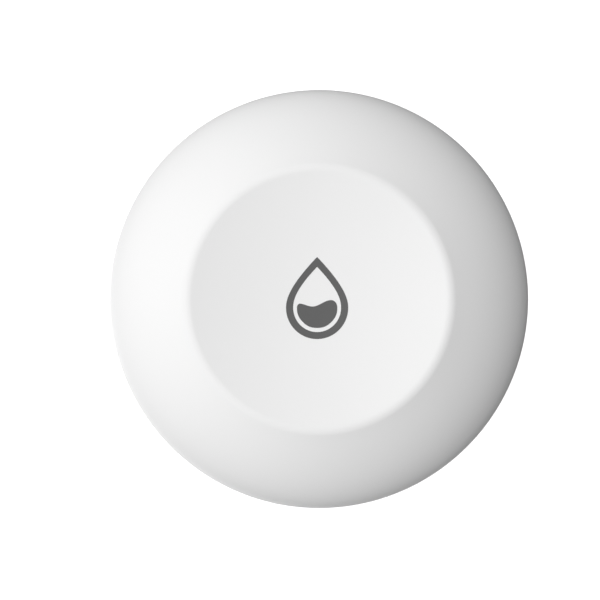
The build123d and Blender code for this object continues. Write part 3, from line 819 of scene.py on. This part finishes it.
def lay_print(curve, carrier, thickness):
    """Turns a filled curve into a thin sheet of ink that lies on the top of a piece."""
    bpy.ops.object.select_all(action="DESELECT")
    curve.select_set(True)
    bpy.context.view_layer.objects.active = curve
    bpy.ops.object.convert(target="MESH")
    bpy.ops.object.transform_apply(location=True, rotation=True, scale=True)
    bpy.ops.object.mode_set(mode="EDIT")
    bpy.ops.mesh.select_all(action="SELECT")
    bpy.ops.mesh.remove_doubles(threshold=CUT_PRECISION)
    bpy.ops.mesh.subdivide(number_cuts=2)
    bpy.ops.object.mode_set(mode="OBJECT")
    sheet = bpy.context.object
    if sheet.data.polygons[0].normal.z < 0:
        sheet.data.flip_normals()
    apply_modifier(
        sheet, "SHRINKWRAP", target=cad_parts[carrier], wrap_method="PROJECT",
        use_project_z=True, use_negative_direction=True, use_positive_direction=False,
    )
    apply_modifier(sheet, "SOLIDIFY", thickness=thickness, offset=1.0)
    return sheet


print("ink", INK_THICKNESS / MM, "mm thick")

# %% Draw the drop
DROP_HALF_WIDTH = 3.70 * MM
DROP_DEPTH = 3.72 * MM
DROP_TIP_RISE = 6.05 * MM
DROP_STROKE = 0.85 * MM
BOTTOM_STROKE = 0.83 * MM
TIP_STROKE = 1.18 * MM
TIP_LEAN = math.radians(43.7)
TIP_PULL_SHARE = 0.80
SIDE_PULL_SHARE = 0.16
ROUND_SHARE = 0.5523


def drop_outline(name, half_width, depth, tip_rise):
    """A circle whose top is pulled up into a point."""
    curve = add_circle(name, half_width)
    left, top, right, bottom = curve.data.splines[0].bezier_points
    tip_x = math.sin(TIP_LEAN) * tip_rise * TIP_PULL_SHARE
    tip_y = -math.cos(TIP_LEAN) * tip_rise * TIP_PULL_SHARE
    up = (0, tip_rise * SIDE_PULL_SHARE)
    down = (0, -depth * ROUND_SHARE)
    sideways = half_width * ROUND_SHARE
    shape_point(left, (-half_width, 0), down, up)
    shape_point(top, (0, tip_rise), (-tip_x, tip_y), (tip_x, tip_y))
    shape_point(right, (half_width, 0), up, down)
    shape_point(bottom, (0, -depth), (sideways, 0), (-sideways, 0))
    return curve


drop_outer = drop_outline("drop_sign", DROP_HALF_WIDTH, DROP_DEPTH, DROP_TIP_RISE)
drop_inner = drop_outline(
    "drop_inner", DROP_HALF_WIDTH - DROP_STROKE, DROP_DEPTH - BOTTOM_STROKE, DROP_TIP_RISE - TIP_STROKE
)
drop_outer.select_set(True)
bpy.context.view_layer.objects.active = drop_outer
bpy.ops.object.join()
drop_sign = lay_print(drop_outer, "top_cover", INK_THICKNESS)
print("drop sign", len(drop_sign.data.polygons), "faces")

# %% [markdown]
# The water inside is the lower half of a smaller circle with a wave on top. The circle gets four more
# points by subdivision. The five lower ones stay where they are, and the three upper ones become the two
# crests of the wave and the hollow between them.

# %% Draw the water
WATER_RADIUS = 2.40 * MM
LEFT_CREST_SHARES = ((-0.86, 0.205), (-0.07, 0), (0.20, 0))
HOLLOW_SHARES = ((-0.225, 0.062), (-0.22, 0), (0.31, 0))
RIGHT_CREST_SHARES = ((0.69, 0.38), (-0.32, 0), (0.17, 0))
LEFT_SIDE_SHARE = 0.12
RIGHT_SIDE_SHARE = 0.24

water_curve = add_circle("water_sign", WATER_RADIUS)
bpy.ops.object.mode_set(mode="EDIT")
bpy.ops.curve.select_all(action="SELECT")
bpy.ops.curve.subdivide(number_cuts=1)
bpy.ops.object.mode_set(mode="OBJECT")
left, left_crest, hollow, right_crest, right = water_curve.data.splines[0].bezier_points[:5]
for point in (left, right):
    point.handle_left_type = point.handle_right_type = "FREE"
for point, shares in (
    (left_crest, LEFT_CREST_SHARES), (hollow, HOLLOW_SHARES), (right_crest, RIGHT_CREST_SHARES)
):
    shape_point(point, *[[share * WATER_RADIUS for share in pair] for pair in shares])
left.handle_right = (-WATER_RADIUS, LEFT_SIDE_SHARE * WATER_RADIUS, 0)
right.handle_left = (WATER_RADIUS, RIGHT_SIDE_SHARE * WATER_RADIUS, 0)
water_sign = lay_print(water_curve, "top_cover", INK_THICKNESS)
print("water sign", len(water_sign.data.polygons), "faces")

# %% [markdown]
# Screen-printed ink is matt, and the mesh of the screen leaves it very slightly mottled.

# %% Print it in grey
INK_GREY, DARK_INK, PALE_INK = (0.088, 0.088, 0.088), (0.082, 0.082, 0.082), (0.094, 0.094, 0.094)
MOTTLE_SIZE = 0.35

ink = Finish("sign_ink", INK_GREY, 0.55)
ink_cloud = ink.noise(ink.place(), MOTTLE_SIZE, 3.0)
ink.set("Base Color", ink.blend(ink_cloud, DARK_INK, PALE_INK))
ink.set("Roughness", ink_cloud * 0.14 + 0.48)
for sign in (drop_sign, water_sign):
    sign.data.materials.clear()
    sign.data.materials.append(ink.material)
    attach(sign, "cover")
print("ink on", drop_sign.name, "and", water_sign.name)

# %% [markdown]
# ## Signs under the sensor
# The battery cover has a small dimple. The base carries raised signs beside it, cut into the mould and so
# moulded in one with the plastic: an open padlock where the cover comes out, a closed one where it is
# locked, and an arrow from one to the other. A shape that stands half in the plastic is enough for each. All
# are built at the top of one ring round the cover and then turned to their places, which is easier than
# building them askew. Round bars come from a small disc that is spun part of the way round.

# %% Bend bars and turn signs
SIGN_RELIEF = 0.15 * MM
SIGN_OFFSET = 2.0 * MM
BAR_SIDES, BEND_STEPS = 16, 24
QUARTER_TURN = math.radians(90)

flange_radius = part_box("battery_cover")[1][0]
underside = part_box("battery_cover")[0][2]
sign_ring = flange_radius + SIGN_OFFSET


def bend_bar(start_x, start_y, facing, centre_x, centre_y, angle):
    """A round bar bent to the left round a centre, which spin counts as negative."""
    bpy.ops.object.select_all(action="DESELECT")
    bpy.ops.mesh.primitive_circle_add(
        vertices=BAR_SIDES, radius=SIGN_RELIEF, fill_type="NGON",
        location=(start_x, start_y, underside), rotation=facing,
    )
    bar = bpy.context.object
    bpy.ops.object.mode_set(mode="EDIT")
    bpy.ops.mesh.select_all(action="SELECT")
    bpy.ops.mesh.spin(
        steps=BEND_STEPS, angle=-angle, center=(centre_x, centre_y, underside), axis=(0, 0, 1)
    )
    bpy.ops.mesh.select_all(action="SELECT")
    bpy.ops.mesh.remove_doubles(threshold=CUT_PRECISION)
    bpy.ops.mesh.normals_make_consistent(inside=False)
    bpy.ops.object.mode_set(mode="OBJECT")
    return bar


def soften(piece):
    """Takes the sharpness off the edges of a sign."""
    apply_modifier(piece, "BEVEL", width=SIGN_RELIEF / 2, segments=2)


def finish_sign(name, parts, turn):
    """Joins shapes that were built at the top of the ring, and turns them round the centre line."""
    bpy.ops.object.select_all(action="DESELECT")
    for part in parts:
        part.select_set(True)
    bpy.context.view_layer.objects.active = parts[0]
    bpy.ops.object.join()
    bpy.ops.object.transform_apply(location=True, rotation=True, scale=True)
    sign = bpy.context.object
    sign.name = name
    sign.rotation_euler.z = turn
    bpy.ops.object.transform_apply(location=False, rotation=True, scale=False)
    bpy.ops.object.shade_smooth_by_angle(angle=ROUND_BELOW)
    sign.data.materials.clear()
    sign.data.materials.append(base_plastic.material)
    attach(sign, "base")
    lowest = min(vertex.co.z for vertex in sign.data.vertices)
    print(name, "stays", round(lowest / MM, 2), "mm above the floor")


print("signs stand", round(sign_ring / MM, 2), "mm from the middle")

# %% Raise the padlocks
LOCK_WIDTH, LOCK_HEIGHT = 1.7 * MM, 1.25 * MM
SHACKLE_RADIUS = 0.5 * MM
CLOSED_ANGLE = math.radians(30)


def raise_padlock(name, shackle_shift, turn):
    """A bar with half a ring on its outer side, pushed sideways where the lock is open."""
    bpy.ops.object.select_all(action="DESELECT")
    bpy.ops.mesh.primitive_cube_add(
        size=1, location=(0, sign_ring, underside), scale=(LOCK_WIDTH, LOCK_HEIGHT, 2 * SIGN_RELIEF)
    )
    body = bpy.context.object
    bpy.ops.object.transform_apply(location=False, rotation=False, scale=True)
    soften(body)
    shackle_y = sign_ring + LOCK_HEIGHT / 2 - SIGN_RELIEF
    shackle_x = shackle_shift + SHACKLE_RADIUS
    shackle = bend_bar(shackle_x, shackle_y, (QUARTER_TURN, 0, 0), shackle_shift, shackle_y, math.pi)
    finish_sign(name, [body, shackle], turn)


raise_padlock("open_sign", 2 * SHACKLE_RADIUS, 0)
raise_padlock("closed_sign", 0, CLOSED_ANGLE)

# %% [markdown]
# The arrow's shaft follows the ring, and its head is a slice of a three-sided bar.

# %% Raise the arrow
ARROW_START, ARROW_SPAN = math.radians(8), math.radians(12)
ARROW_HEAD = 0.6 * MM

shaft = bend_bar(0, sign_ring, (0, QUARTER_TURN, 0), 0, 0, ARROW_SPAN)
head_x, head_y = -sign_ring * math.sin(ARROW_SPAN), sign_ring * math.cos(ARROW_SPAN)
bpy.ops.object.select_all(action="DESELECT")
bpy.ops.mesh.primitive_cylinder_add(
    vertices=3, radius=ARROW_HEAD, depth=2 * SIGN_RELIEF,
    location=(head_x, head_y, underside), rotation=(0, 0, ARROW_SPAN + QUARTER_TURN),
)
arrow_head = bpy.context.object
soften(arrow_head)
finish_sign("turn_arrow", [shaft, arrow_head], ARROW_START)
